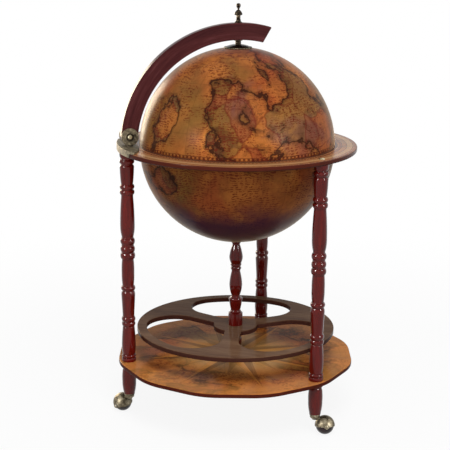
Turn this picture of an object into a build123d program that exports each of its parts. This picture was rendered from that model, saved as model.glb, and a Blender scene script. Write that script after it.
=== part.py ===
# Rolling globe bar: a three-legged turned wood stand with a round bottle rack, carrying a hollow
# globe whose upper half swings open on a curved wooden arm. Millimetres, +Z up.
# Origin: on the stand's centre line, on the floor, with one leg straight behind at +Y. Every piece
# is drawn with the arm in the XZ plane, hinged at -X, and finish() turns it with the whole stand.
import os
from math import atan2, cos, radians, sin, sqrt

from build123d import *

os.makedirs("parts", exist_ok=True)

frame_turn = 30.0            # degrees about Z from the drawing to the part's own frame

# ---- driving dimensions -------------------------------------------------------------------------
globe_radius = 200.0
shell_wall = 3.0

ring_width = 45.5            # from the globe to the ring's outer edge
ring_thickness = 10.0
ring_edge_round = 2.5
centre_drop = 4.0            # globe centre below the ring's top face

leg_count = 3
first_leg_angle = 180.0
leg_inset = 15.5             # leg axis to the ring's outer edge
leg_radius = 15.3
leg_length = 443.0

shelf_overhang = 24.0        # leg axis to the corner of the shelf before it is rounded
shelf_sides = 12
shelf_corner_round = 130.0
shelf_thickness = 9.0
shelf_edge_round = 2.5

stub_radius = 15.1
stub_length = 63.0

spindle_radius = 15.2
post_length = 52.0           # shelf to rack
rack_thickness = 10.0
rack_leg_gap = 6.4
rack_rim_width = 20.0
rack_hub_radius = 46.0
rack_spoke_width = 34.0
rack_spoke_angle = 9.0
rack_outer_corner = 60.0
rack_inner_corner = 9.0
rack_edge_round = 1.5

arm_gap = 9.0                # globe to the arm's inner edge, at the hinge
arm_rise = 6.0               # centre of the arm's arc above the globe's centre
arm_width = 34.0
arm_thickness = 18.0
arm_edge_round = 1.2
arm_corner_round = 2.0
arm_reach_outer = 68.0       # how far the arm runs on past the pole, at its outer edge
arm_reach_inner = 50.0

pin_height = 22.8            # hinge pin above the ring's top face
pin_radius = 3.5
pin_head_radius = 4.6
pin_head_height = 3.0
pin_recess_radius = 8.0
pin_recess_depth = 1.6
pin_nut_radius = 9.2
pin_nut_height = 7.0
pin_nut_round = 2.0
bush_wall = 2.5
hinge_washer_radius = 11.0
hinge_washer_thickness = 1.0
cheek_radius = 17.6
cheek_thickness = 4.0
cheek_foot_width = 10.0
saddle_thickness = 4.0
saddle_edge_round = 1.2
saddle_tip_round = 3.0
saddle_inner_margin = 7.0    # globe to the saddle's inner edge
saddle_half_angle = 20.0
apron_half_angle = 16.0
apron_thickness = 1.2
apron_drop = 9.0             # how far the saddle's apron hangs below the ring's top face
apron_round = 7.0
saddle_screw_angle = 8.4
saddle_screw_inset = 11.0
saddle_screw_pitch = 17.0

pole_rod_radius = 4.0
pole_stud_radius = 2.2
pole_stud_length = 12.0
pole_cap_radius = 27.5
pole_cap_rim = 2.2
pole_cap_lip = 0.6
pole_cap_dome = 6.0          # height of the cap's dome above the globe's pole
pole_cap_bulge = 0.9
pole_neck_radius = 6.0
thrust_washer_radius = 9.0
thrust_washer_thickness = 1.2
finial_radius = 7.8
finial_height = 38.5
lid_pad_radius = 30.0
lid_pad_depth = 10.0
pole_washer_radius = 12.0
washer_thickness = 1.6
pole_nut_radius = 7.5
pole_nut_height = 6.0

tie_rod_radius = 4.0
tie_washer_radius = 13.0
tie_nut_radius = 7.5
tie_nut_height = 6.5
rod_end = 3.0                # thread that shows past a nut
rod_chamfer = 0.6
bowl_pad_radius = 48.0
bowl_pad_depth = 12.0

tray_drop = 45.0             # tray's top face below the ring's top face
tray_thickness = 14.0
bottle_hole_radius = 42.0
bottle_circle = 60.0
bottle_count = 3
glass_recess_radius = 28.0
glass_recess_depth = 9.0
glass_circle = 148.0
glass_count = 9
tray_floor_rise = 50.0       # tray floor's top face above the globe's lowest point
tray_floor_thickness = 8.0

ring_screw_radius = 2.5
ring_screw_head = 5.0
ring_screw_length = 48.0
cover_radius = 6.5
cover_height = 2.6
saddle_screw_radius = 1.8
saddle_screw_head = 3.8
saddle_screw_head_height = 1.8
saddle_screw_head_round = 1.4
saddle_screw_bite = 3.0      # screw length inside the saddle
stud_radius = 4.0
stud_bite = 22.0             # stud length inside a leg or a stub

caster_height = 45.0
ball_radius = 18.4
ball_flat = 16.9             # ball centre to the flat faces round its axle
trail = 21.0                 # swivel axis to ball centre
axle_tilt = 12.0
axle_radius = 2.0
axle_head_radius = 3.4
axle_head_height = 1.4
axle_head_taper = 35.0
hood_gap = 0.6
hood_wall = 1.4
hood_skirt = 1.5             # hood below the axle's plane
ear_radius = 5.2
ear_gap = 0.6
ear_thickness = 3.0
boss_radius = 10.0
boss_height = 9.0
boss_tip_radius = 6.0
bridge_width = 11.0
bridge_height = 3.5
flange_radius = 11.0
flange_thickness = 3.0
socket_radius = 5.6
socket_length = 30.0
stem_radius = 4.0
stem_engagement = 26.0
caster_yaw = [122.0, -8.0, 205.0]   # where each caster trails at rest, before frame_turn

# clearances
run_fit = 0.05               # radial, between a shaft and what turns on it
seat_fit = 0.05              # radial, between pieces that are screwed, glued or pressed together
rest_gap = 0.3               # between parts that pass each other or rest on each other

# ---- sizes that follow ----------------------------------------------------------------------------
ring_radius = globe_radius + ring_width
leg_circle = ring_radius - leg_inset
shelf_radius = leg_circle + shelf_overhang
rack_radius = leg_circle - leg_radius - rack_leg_gap

shelf_bottom = caster_height + stub_length
shelf_top = shelf_bottom + shelf_thickness
rack_bottom = shelf_top + post_length
rack_top = rack_bottom + rack_thickness
ring_bottom = shelf_top + leg_length
ring_top = ring_bottom + ring_thickness
globe_z = ring_top - centre_drop
globe_bottom = globe_z - globe_radius
shell_inner = globe_radius - shell_wall

arm_inner = globe_radius + arm_gap
arm_outer = arm_inner + arm_width
arm_middle = arm_inner + arm_width / 2
arm_centre_z = globe_z + arm_rise
arm_underside = arm_centre_z + arm_inner
arm_top = arm_centre_z + arm_outer
pin_z = ring_top + pin_height
pin_x = -sqrt(arm_middle ** 2 - (pin_z - arm_centre_z) ** 2)
saddle_top = ring_top + saddle_thickness
cheek_inner = arm_thickness / 2 + hinge_washer_thickness + rest_gap
cheek_outer = cheek_inner + cheek_thickness

globe_centre = (0, 0, globe_z)
saddle_reach = globe_radius + saddle_inner_margin
saddle_screws_at = []
for side in (-1, 1):
    for step in (0, 1):
        reach = saddle_reach + saddle_screw_inset + step * saddle_screw_pitch
        turn_angle = radians(180 + side * saddle_screw_angle)
        saddle_screws_at.append((reach * cos(turn_angle), reach * sin(turn_angle)))
leg_angles = [first_leg_angle + n * 360 / leg_count for n in range(leg_count)]
tie_hole = tie_rod_radius + seat_fit
leg_places = [(leg_circle * cos(radians(a)), leg_circle * sin(radians(a))) for a in leg_angles]


def finish(piece, name):
    turned_piece = piece.part.rotate(Axis.Z, frame_turn)
    turned_piece.label = name
    export_step(turned_piece, f"parts/{name}.step")


def upright(x, y, z):
    # a sketch plane whose X is the radius and whose Y is the height of a piece turned about (x, y)
    return Plane(origin=(x, y, z), x_dir=(1, 0, 0), z_dir=(0, -1, 0))


def turn(x, y):
    revolve(axis=Axis((x, y, 0), (0, 0, 1)))


def sphere_height(radius, reach):
    return sqrt(radius ** 2 - reach ** 2)


def turned(x, y, z, elements, height, radius, bore=0.0):
    # A turned piece that stands at (x, y, z). Each element of its outline, foot first, is
    # (relative height, radius at its foot, radius at its head, bulge), the last three as shares
    # of the piece's radius.
    total = sum(element[0] for element in elements)
    with BuildSketch(upright(x, y, z)) as outline:
        with BuildLine():
            level = 0.0
            last = (bore, 0.0)
            for rise, foot, head, bulge in elements:
                start = (foot * radius, level)
                level += rise / total * height
                end = (head * radius, level)
                if start != last:
                    Line(last, start)
                if bulge:
                    waist = (start[0] + end[0]) / 2 + bulge * radius
                    ThreePointArc(start, (waist, (start[1] + end[1]) / 2), end)
                else:
                    Line(start, end)
                last = end
            Polyline(last, (bore, height), (bore, 0.0))
        make_face()
    revolve(outline.sketch, axis=Axis((x, y, 0), (0, 0, 1)))


def drill(x, y, z, radius, depth):
    # a blind or through hole from height z downwards
    with Locations((x, y, z)):
        Cylinder(radius, depth, align=(Align.CENTER, Align.CENTER, Align.MAX), mode=Mode.SUBTRACT)


def post(x, y, z, radius, height):
    with Locations((x, y, z)):
        Cylinder(radius, height, align=(Align.CENTER, Align.CENTER, Align.MIN))


def ring_of(inner, outer, height, x=0.0, y=0.0, z=0.0):
    post(x, y, z, outer, height)
    drill(x, y, z + height, inner, height)


def hex_nut(x, y, z, radius, height, hole):
    with BuildSketch(Plane((x, y, z))) as outline:
        RegularPolygon(radius=radius, side_count=6)
        Circle(hole, mode=Mode.SUBTRACT)
    extrude(outline.sketch, amount=height)


# ---- stand: shelf, legs, stubs --------------------------------------------------------------------
with BuildPart() as shelf_board:
    with BuildSketch(Plane.XY.offset(shelf_bottom)) as board_outline:
        RegularPolygon(radius=shelf_radius, side_count=shelf_sides)
        fillet(board_outline.vertices(), radius=shelf_corner_round)
    extrude(amount=shelf_thickness)
    fillet(shelf_board.faces().filter_by(Axis.Z).edges(), radius=shelf_edge_round)
    for leg_x, leg_y in leg_places:
        drill(leg_x, leg_y, shelf_top, stud_radius + seat_fit, shelf_thickness)
    drill(0, 0, shelf_top, tie_hole, shelf_thickness)
finish(shelf_board, "shelf_board")

leg_elements = [
    (7.5, 0.93, 0.93, 0.05), (1.2, 0.80, 0.80, 0), (5.5, 0.90, 0.90, 0.07), (1.5, 0.79, 0.79, 0),
    (22, 0.86, 0.95, 0.04), (34.5, 0.95, 0.80, 0.02), (3, 0.80, 0.80, -0.03),
    (7, 0.86, 0.86, 0.05), (2, 0.79, 0.79, 0), (9, 0.84, 0.84, 0.09), (3.5, 0.79, 0.79, 0),
    (41, 0.79, 0.93, 0), (8.5, 0.93, 0.84, 0.04), (3, 0.79, 0.79, 0), (7.5, 0.89, 0.89, 0.08),
    (2.5, 0.78, 0.78, 0), (25, 0.78, 0.86, 0.03), (27, 0.86, 0.79, 0.03), (3, 0.80, 0.80, 0),
    (10, 0.93, 0.93, 0.07), (3, 0.82, 0.82, 0), (11, 0.88, 0.88, 0.10), (5, 0.83, 0.83, 0),
    (11, 0.88, 0.88, 0.10), (4, 0.80, 0.80, 0), (22, 0.80, 0.98, 0.05), (58, 0.98, 0.81, 0.04),
    (5, 0.81, 0.81, 0), (8.5, 0.91, 0.91, 0.08), (2.5, 0.78, 0.78, 0), (8, 0.90, 0.90, 0.08),
    (4, 0.80, 0.80, 0), (29, 0.83, 0.95, 0.02), (6, 0.95, 0.88, 0.04), (3, 0.78, 0.78, 0),
    (8, 0.91, 0.91, 0.09), (3.5, 0.76, 0.76, 0), (10, 0.90, 0.97, 0.03),
]
for n, (leg_x, leg_y) in enumerate(leg_places, 1):
    with BuildPart() as leg:
        turned(leg_x, leg_y, shelf_top, leg_elements, leg_length, leg_radius)
        drill(leg_x, leg_y, shelf_top + stud_bite, stud_radius + seat_fit, stud_bite)
        leg_screw_bite = ring_screw_length - ring_thickness
        drill(leg_x, leg_y, ring_bottom, ring_screw_radius + seat_fit, leg_screw_bite)
    finish(leg, f"leg_{n}")

stub_elements = [
    (3, 0.78, 0.78, 0), (24, 0.80, 0.97, 0.05), (20, 0.97, 0.94, 0.03), (9, 0.94, 0.80, 0.03),
    (2, 0.74, 0.74, 0), (5, 0.90, 0.90, 0.05),
]
for n, (leg_x, leg_y) in enumerate(leg_places, 1):
    with BuildPart() as stub:
        turned(leg_x, leg_y, caster_height, stub_elements, stub_length, stub_radius)
        drill(leg_x, leg_y, shelf_bottom, stud_radius + seat_fit, stud_bite)
        socket_top = caster_height + socket_length + rest_gap
        drill(leg_x, leg_y, socket_top, socket_radius + seat_fit, socket_length + rest_gap)
    finish(stub, f"stub_foot_{n}")

with BuildPart() as leg_studs:
    for leg_x, leg_y in leg_places:
        length = 2 * stud_bite + shelf_thickness
        post(leg_x, leg_y, shelf_bottom - stud_bite, stud_radius, length)
finish(leg_studs, "leg_studs")

# ---- rack, spindle and the rod that ties them -----------------------------------------------------
with BuildPart() as bottle_rack:
    with BuildSketch(Plane.XY.offset(rack_bottom)):
        Circle(rack_radius)
    extrude(amount=rack_thickness)
    fillet(bottle_rack.edges(), radius=rack_edge_round)
    with BuildSketch(Plane.XY.offset(rack_bottom)) as rack_openings:
        Circle(rack_radius - rack_rim_width)
        Circle(rack_hub_radius, mode=Mode.SUBTRACT)
        with PolarLocations(0, leg_count, start_angle=rack_spoke_angle):
            Rectangle(rack_radius, rack_spoke_width, align=(Align.MIN, Align.CENTER),
                      mode=Mode.SUBTRACT)
        middle = (rack_radius + rack_hub_radius) / 2
        corners = rack_openings.vertices()
        far = [v for v in corners if sqrt(v.X ** 2 + v.Y ** 2) > middle]
        fillet(far, radius=rack_outer_corner)
        corners = rack_openings.vertices()
        near = [v for v in corners if sqrt(v.X ** 2 + v.Y ** 2) < rack_hub_radius + seat_fit]
        fillet(near, radius=rack_inner_corner)
    extrude(amount=rack_thickness, mode=Mode.SUBTRACT)
    drill(0, 0, rack_top, tie_hole, rack_thickness)
finish(bottle_rack, "bottle_rack")

post_elements = [
    (6, 0.95, 0.95, 0.05), (2, 0.80, 0.80, 0), (5, 0.88, 0.88, 0.06), (2, 0.74, 0.74, 0),
    (22, 0.76, 0.76, 0.16), (2, 0.74, 0.74, 0), (5, 0.88, 0.88, 0.06), (2, 0.80, 0.80, 0),
    (6, 0.95, 0.95, 0.05),
]
with BuildPart() as lower_post:
    turned(0, 0, shelf_top, post_elements, post_length, spindle_radius, tie_hole)
finish(lower_post, "lower_post")

spindle_elements = [
    (25.5, 1.0, 1.0, 0), (1.5, 0.98, 0.80, 0.02), (3.5, 0.74, 0.74, 0.05), (2.5, 0.62, 0.62, 0),
    (20, 0.66, 0.90, 0.03), (6, 0.90, 0.90, 0.06), (3, 0.74, 0.62, 0), (3, 0.61, 0.61, 0),
    (22, 0.61, 0.90, 0.05), (28, 0.90, 0.61, 0.05), (5, 0.61, 0.61, 0), (5, 0.68, 0.68, 0.05),
    (3, 0.62, 0.62, 0), (5, 0.70, 0.70, 0.06), (14, 0.70, 0.94, 0.06), (25, 0.94, 0.54, 0.05),
    (4, 0.52, 0.52, 0), (8, 0.60, 0.68, 0.04),
]
spindle_length = globe_bottom - rack_top
with BuildPart() as upper_spindle:
    turned(0, 0, rack_top, spindle_elements, spindle_length, spindle_radius, tie_hole)
finish(upper_spindle, "upper_spindle")

pad_top = globe_z - shell_inner + bowl_pad_depth
tie_rod_bottom = shelf_bottom - washer_thickness - tie_nut_height - rod_end
tie_rod_top = pad_top + washer_thickness + tie_nut_height + rod_end
with BuildPart() as tie_rod:
    post(0, 0, tie_rod_bottom, tie_rod_radius, tie_rod_top - tie_rod_bottom)
    chamfer(tie_rod.edges(), length=rod_chamfer)
finish(tie_rod, "tie_rod")

with BuildPart() as tie_washers:
    ring_of(tie_hole, tie_washer_radius, washer_thickness, z=shelf_bottom - washer_thickness)
    ring_of(tie_hole, tie_washer_radius, washer_thickness, z=pad_top)
finish(tie_washers, "tie_washers")

with BuildPart() as tie_nuts:
    lower_nut_z = shelf_bottom - washer_thickness - tie_nut_height
    hex_nut(0, 0, lower_nut_z, tie_nut_radius, tie_nut_height, tie_hole)
    hex_nut(0, 0, pad_top + washer_thickness, tie_nut_radius, tie_nut_height, tie_hole)
finish(tie_nuts, "tie_nuts")

# ---- horizon ring and its screws ------------------------------------------------------------------
with BuildPart() as horizon_ring:
    with BuildSketch(Plane.XY.offset(ring_bottom)):
        Circle(ring_radius)
        Circle(globe_radius + seat_fit, mode=Mode.SUBTRACT)
    extrude(amount=ring_thickness)
    outer_edges = horizon_ring.edges().filter_by(GeomType.CIRCLE).group_by(SortBy.RADIUS)[-1]
    fillet(outer_edges, radius=ring_edge_round)
    for leg_x, leg_y in leg_places:
        with Locations((leg_x, leg_y, ring_top)):
            CounterSinkHole(ring_screw_radius + seat_fit, ring_screw_head + seat_fit,
                            depth=ring_thickness)
    for screw_x, screw_y in saddle_screws_at:
        drill(screw_x, screw_y, ring_top, saddle_screw_radius + seat_fit, ring_thickness)
finish(horizon_ring, "horizon_ring")

with BuildPart() as ring_screws:
    for leg_x, leg_y in leg_places:
        with BuildSketch(upright(leg_x, leg_y, ring_top)):
            with BuildLine():
                head_depth = ring_screw_head - ring_screw_radius
                Polyline((0, 0), (ring_screw_head, 0), (ring_screw_radius, -head_depth),
                         (ring_screw_radius, -ring_screw_length), (0, -ring_screw_length),
                         close=True)
            make_face()
        turn(leg_x, leg_y)
finish(ring_screws, "ring_screws")

with BuildPart() as screw_covers:
    for leg_x, leg_y in leg_places[1:]:
        turned(leg_x, leg_y, ring_top, [(1, 1.0, 0.25, 0.2)], cover_height, cover_radius)
finish(screw_covers, "screw_covers")

# ---- bowl, its pad and the tray -------------------------------------------------------------------
with BuildPart() as lower_bowl:
    with BuildSketch(upright(0, 0, globe_z)):
        with BuildLine():
            slant = radians(-45)
            outer_rim = (sphere_height(globe_radius, centre_drop), centre_drop)
            inner_rim = (sphere_height(shell_inner, centre_drop), centre_drop)
            outer_foot = (tie_hole, -sphere_height(globe_radius, tie_hole))
            inner_foot = (tie_hole, -sphere_height(shell_inner, tie_hole))
            ThreePointArc(outer_foot, (globe_radius * cos(slant), globe_radius * sin(slant)),
                          outer_rim)
            Line(outer_rim, inner_rim)
            ThreePointArc(inner_rim, (shell_inner * cos(slant), shell_inner * sin(slant)),
                          inner_foot)
            Line(inner_foot, outer_foot)
        make_face()
    turn(0, 0)
finish(lower_bowl, "lower_bowl")

with BuildPart() as bowl_pad:
    post(0, 0, globe_z - shell_inner, bowl_pad_radius, bowl_pad_depth)
    with Locations(globe_centre):
        Sphere(shell_inner - seat_fit, mode=Mode.INTERSECT)
    drill(0, 0, pad_top, tie_hole, bowl_pad_depth)
finish(bowl_pad, "bowl_pad")

tray_floor_top = globe_bottom + tray_floor_rise
with BuildPart() as tray_floor:
    post(0, 0, tray_floor_top - tray_floor_thickness, shell_inner, tray_floor_thickness)
    with Locations(globe_centre):
        Sphere(shell_inner - seat_fit, mode=Mode.INTERSECT)
finish(tray_floor, "tray_floor")

tray_top = ring_top - tray_drop
with BuildPart() as bottle_tray:
    post(0, 0, tray_top - tray_thickness, shell_inner, tray_thickness)
    with Locations(globe_centre):
        Sphere(shell_inner - seat_fit, mode=Mode.INTERSECT)
    with Locations((0, 0, tray_top)):
        with PolarLocations(bottle_circle, bottle_count, start_angle=first_leg_angle):
            Hole(bottle_hole_radius, depth=tray_thickness)
        with PolarLocations(glass_circle, glass_count, start_angle=first_leg_angle):
            Hole(glass_recess_radius, depth=glass_recess_depth)
finish(bottle_tray, "bottle_tray")

# ---- hinge ----------------------------------------------------------------------------------------
with BuildPart() as hinge_saddle:
    apron_inner = ring_radius + seat_fit
    apron_outer = apron_inner + apron_thickness
    with BuildSketch(Plane.XY.offset(ring_top)) as plate:
        with BuildLine():
            back = CenterArc((0, 0), apron_outer, 180 - saddle_half_angle, 2 * saddle_half_angle)
            ThreePointArc(back @ 1, (-saddle_reach, 0), back @ 0)
        make_face()
        fillet(plate.vertices(), radius=saddle_tip_round)
    extrude(amount=saddle_thickness)
    fillet(hinge_saddle.faces().sort_by(Axis.Z)[-1].edges(), radius=saddle_edge_round)
    with BuildSketch(Plane.XY.offset(ring_top - apron_drop)):
        with BuildLine():
            start_angle = 180 - apron_half_angle
            near_arc = CenterArc((0, 0), apron_inner, start_angle, 2 * apron_half_angle)
            far_arc = CenterArc((0, 0), apron_outer, start_angle, 2 * apron_half_angle)
            Line(near_arc @ 0, far_arc @ 0)
            Line(near_arc @ 1, far_arc @ 1)
        make_face()
    extrude(amount=apron_drop)
    lower_corners = hinge_saddle.faces().sort_by(Axis.Z)[0].edges().filter_by(GeomType.LINE)
    fillet(lower_corners, radius=apron_round)
    for face_y in (cheek_outer, -cheek_inner):
        with BuildSketch(Plane.XZ.offset(face_y - cheek_thickness)):
            with Locations((pin_x, pin_z)):
                Circle(cheek_radius)
            with Locations((pin_x, saddle_top)):
                Rectangle(cheek_foot_width, pin_height, align=(Align.CENTER, Align.MIN))
            with Locations((pin_x, pin_z)):
                Circle(pin_radius + seat_fit, mode=Mode.SUBTRACT)
        extrude(amount=cheek_thickness)
    with BuildSketch(Plane.XZ.offset(cheek_outer)):
        with Locations((pin_x, pin_z)):
            Circle(pin_recess_radius)
    extrude(amount=-pin_recess_depth, mode=Mode.SUBTRACT)
    for screw_x, screw_y in saddle_screws_at:
        bite = saddle_screw_bite + seat_fit
        drill(screw_x, screw_y, ring_top + bite, saddle_screw_radius + seat_fit, bite)
finish(hinge_saddle, "hinge_saddle")

with BuildPart() as hinge_pin:
    with BuildSketch(Plane.XZ.offset(cheek_outer - pin_recess_depth)):
        with Locations((pin_x, pin_z)):
            Circle(pin_radius)
    extrude(amount=-(2 * cheek_outer - pin_recess_depth + pin_nut_height - washer_thickness))
    with BuildSketch(Plane.XZ.offset(cheek_outer - pin_recess_depth)):
        with Locations((pin_x, pin_z)):
            Circle(pin_head_radius)
    extrude(amount=pin_head_height)
    front_rim = hinge_pin.faces().sort_by(Axis.Y)[0].edges()
    fillet(front_rim, radius=pin_head_height / 2)
finish(hinge_pin, "hinge_pin")

with BuildPart() as hinge_nut:
    with BuildSketch(Plane.XZ.offset(-cheek_outer)):
        with Locations((pin_x, pin_z)):
            RegularPolygon(radius=pin_nut_radius, side_count=6)
    extrude(amount=-pin_nut_height)
    rear_rim = hinge_nut.faces().sort_by(Axis.Y)[-1].edges()
    fillet(rear_rim, radius=pin_nut_round)
    with BuildSketch(Plane.XZ.offset(-cheek_outer)):
        with Locations((pin_x, pin_z)):
            Circle(pin_radius + seat_fit)
    extrude(amount=-(pin_nut_height - washer_thickness), mode=Mode.SUBTRACT)
finish(hinge_nut, "hinge_nut")

with BuildPart() as saddle_screws:
    for screw_x, screw_y in saddle_screws_at:
        post(screw_x, screw_y, ring_bottom, saddle_screw_radius, ring_thickness + saddle_screw_bite)
        head_bottom = ring_bottom - saddle_screw_head_height
        post(screw_x, screw_y, head_bottom, saddle_screw_head, saddle_screw_head_height)
    head_rims = saddle_screws.faces().sort_by(Axis.Z)[:len(saddle_screws_at)].edges()
    fillet(head_rims, radius=saddle_screw_head_round)
finish(saddle_screws, "saddle_screws")

# ---- arm and what turns with it -------------------------------------------------------------------
bush_radius = pin_radius + run_fit + bush_wall
hinge_turn = atan2(pin_z - arm_centre_z, pin_x)
with BuildPart() as meridian_arm:
    with BuildSketch(Plane.XZ.offset(arm_thickness / 2)) as arm_face:
        with BuildLine():
            outer_end = (arm_reach_outer, arm_centre_z + sphere_height(arm_outer, arm_reach_outer))
            inner_end = (arm_reach_inner, arm_centre_z + sphere_height(arm_inner, arm_reach_inner))
            outer_foot = (arm_outer * cos(hinge_turn), arm_centre_z + arm_outer * sin(hinge_turn))
            inner_foot = (arm_inner * cos(hinge_turn), arm_centre_z + arm_inner * sin(hinge_turn))
            RadiusArc(outer_foot, outer_end, arm_outer)
            Line(outer_end, inner_end)
            RadiusArc(inner_end, inner_foot, -arm_inner)
            foot_end = (pin_x - arm_width / 2 * sin(hinge_turn), pin_z + arm_width / 2 * cos(hinge_turn))
            ThreePointArc(inner_foot, foot_end, outer_foot)
        make_face()
        free_end = arm_face.vertices().sort_by(Axis.X)[-2:]
        fillet(free_end, radius=arm_corner_round)
    extrude(amount=-arm_thickness)
    face_edges = meridian_arm.faces().filter_by(Axis.Y).edges()
    fillet(face_edges, radius=arm_edge_round)
    with BuildSketch(Plane.XZ.offset(arm_thickness / 2)):
        with Locations((pin_x, pin_z)):
            Circle(bush_radius + seat_fit)
    extrude(amount=-arm_thickness, mode=Mode.SUBTRACT)
    drill(0, 0, arm_top + rest_gap, pole_rod_radius + seat_fit, arm_width + 2 * rest_gap)
finish(meridian_arm, "meridian_arm")

with BuildPart() as arm_bush:
    with BuildSketch(Plane.XZ.offset(arm_thickness / 2)):
        with Locations((pin_x, pin_z)):
            Circle(bush_radius)
            Circle(pin_radius + run_fit, mode=Mode.SUBTRACT)
    extrude(amount=-arm_thickness)
finish(arm_bush, "arm_bush")

with BuildPart() as hinge_washers:
    for face_y in (arm_thickness / 2 + hinge_washer_thickness, -arm_thickness / 2):
        with BuildSketch(Plane.XZ.offset(face_y)):
            with Locations((pin_x, pin_z)):
                Circle(hinge_washer_radius)
                Circle(pin_radius + run_fit, mode=Mode.SUBTRACT)
        extrude(amount=-hinge_washer_thickness)
finish(hinge_washers, "hinge_washers")

lid_pad_bottom = globe_z + shell_inner - lid_pad_depth
pole_washer_top = lid_pad_bottom - rest_gap
pole_nut_top = pole_washer_top - washer_thickness
pole_rod_bottom = pole_nut_top - pole_nut_height - rod_end
with BuildPart() as pole_rod:
    post(0, 0, pole_rod_bottom, pole_rod_radius, arm_top - rest_gap - pole_rod_bottom)
    post(0, 0, arm_top - rest_gap, pole_stud_radius, pole_stud_length)
finish(pole_rod, "pole_rod")

with BuildPart() as finial:
    finial_elements = [
        (1.4, 0.97, 0.97, 0.02), (3.6, 0.92, 0.62, -0.10), (1.0, 0.66, 0.66, 0.05),
        (8.3, 0.52, 0.52, 0.03), (1.0, 0.66, 0.66, 0.05), (3.0, 0.97, 1.0, 0.05),
        (7.0, 1.0, 0.34, 0.10), (3.2, 0.26, 0.26, -0.03), (1.2, 0.42, 0.42, 0.06),
        (0.6, 0.30, 0.30, 0), (4.1, 0.36, 0.57, 0.10), (4.1, 0.57, 0.04, 0.22),
    ]
    turned(0, 0, arm_top, finial_elements, finial_height, finial_radius)
    stud_hole = pole_stud_radius + seat_fit
    drill(0, 0, arm_top + pole_stud_length, stud_hole, pole_stud_length)
finish(finial, "finial")

with BuildPart() as thrust_washer:
    washer_top = arm_underside - rest_gap
    hole = pole_rod_radius + run_fit
    ring_of(hole, thrust_washer_radius, thrust_washer_thickness,
            z=washer_top - thrust_washer_thickness)
finish(thrust_washer, "thrust_washer")

with BuildPart() as pole_cap:
    with BuildSketch(upright(0, 0, globe_z)):
        with BuildLine():
            seat = globe_radius + seat_fit
            hole = pole_rod_radius + run_fit
            neck_top = washer_top - thrust_washer_thickness - globe_z
            rim_foot = (pole_cap_radius, sphere_height(seat, pole_cap_radius))
            rim_head = (pole_cap_radius - pole_cap_lip, rim_foot[1] + pole_cap_rim)
            hole_foot = (hole, sphere_height(seat, hole))
            neck_foot = (pole_neck_radius, seat + pole_cap_dome)
            dome_waist = ((pole_cap_radius + pole_neck_radius) / 2,
                          (rim_head[1] + neck_foot[1]) / 2 + pole_cap_bulge)
            RadiusArc(hole_foot, rim_foot, seat)
            ThreePointArc(rim_foot, (pole_cap_radius + pole_cap_lip, rim_foot[1] + pole_cap_rim / 2),
                          rim_head)
            ThreePointArc(rim_head, dome_waist, neck_foot)
            Polyline(neck_foot, (pole_neck_radius, neck_top), (hole, neck_top), hole_foot)
        make_face()
    turn(0, 0)
finish(pole_cap, "pole_cap")

with BuildPart() as lid_shell:
    with BuildSketch(upright(0, 0, globe_z)):
        with BuildLine():
            hole = pole_rod_radius + run_fit
            slant = radians(45)
            rim_level = centre_drop + rest_gap
            outer_rim = (sphere_height(globe_radius, rim_level), rim_level)
            inner_rim = (sphere_height(shell_inner, rim_level), rim_level)
            outer_head = (hole, sphere_height(globe_radius, hole))
            inner_head = (hole, sphere_height(shell_inner, hole))
            ThreePointArc(outer_rim, (globe_radius * cos(slant), globe_radius * sin(slant)),
                          outer_head)
            Line(outer_head, inner_head)
            ThreePointArc(inner_head, (shell_inner * cos(slant), shell_inner * sin(slant)),
                          inner_rim)
            Line(inner_rim, outer_rim)
        make_face()
    turn(0, 0)
finish(lid_shell, "lid_shell")

with BuildPart() as lid_pad:
    post(0, 0, lid_pad_bottom, lid_pad_radius, lid_pad_depth)
    with Locations(globe_centre):
        Sphere(shell_inner - seat_fit, mode=Mode.INTERSECT)
    drill(0, 0, lid_pad_bottom + lid_pad_depth, pole_rod_radius + run_fit, lid_pad_depth)
finish(lid_pad, "lid_pad")

with BuildPart() as pole_washer:
    ring_of(pole_rod_radius + seat_fit, pole_washer_radius, washer_thickness, z=pole_nut_top)
finish(pole_washer, "pole_washer")

with BuildPart() as pole_nut:
    nut_bottom = pole_nut_top - pole_nut_height
    hex_nut(0, 0, nut_bottom, pole_nut_radius, pole_nut_height, pole_rod_radius + seat_fit)
finish(pole_nut, "pole_nut")

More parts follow.
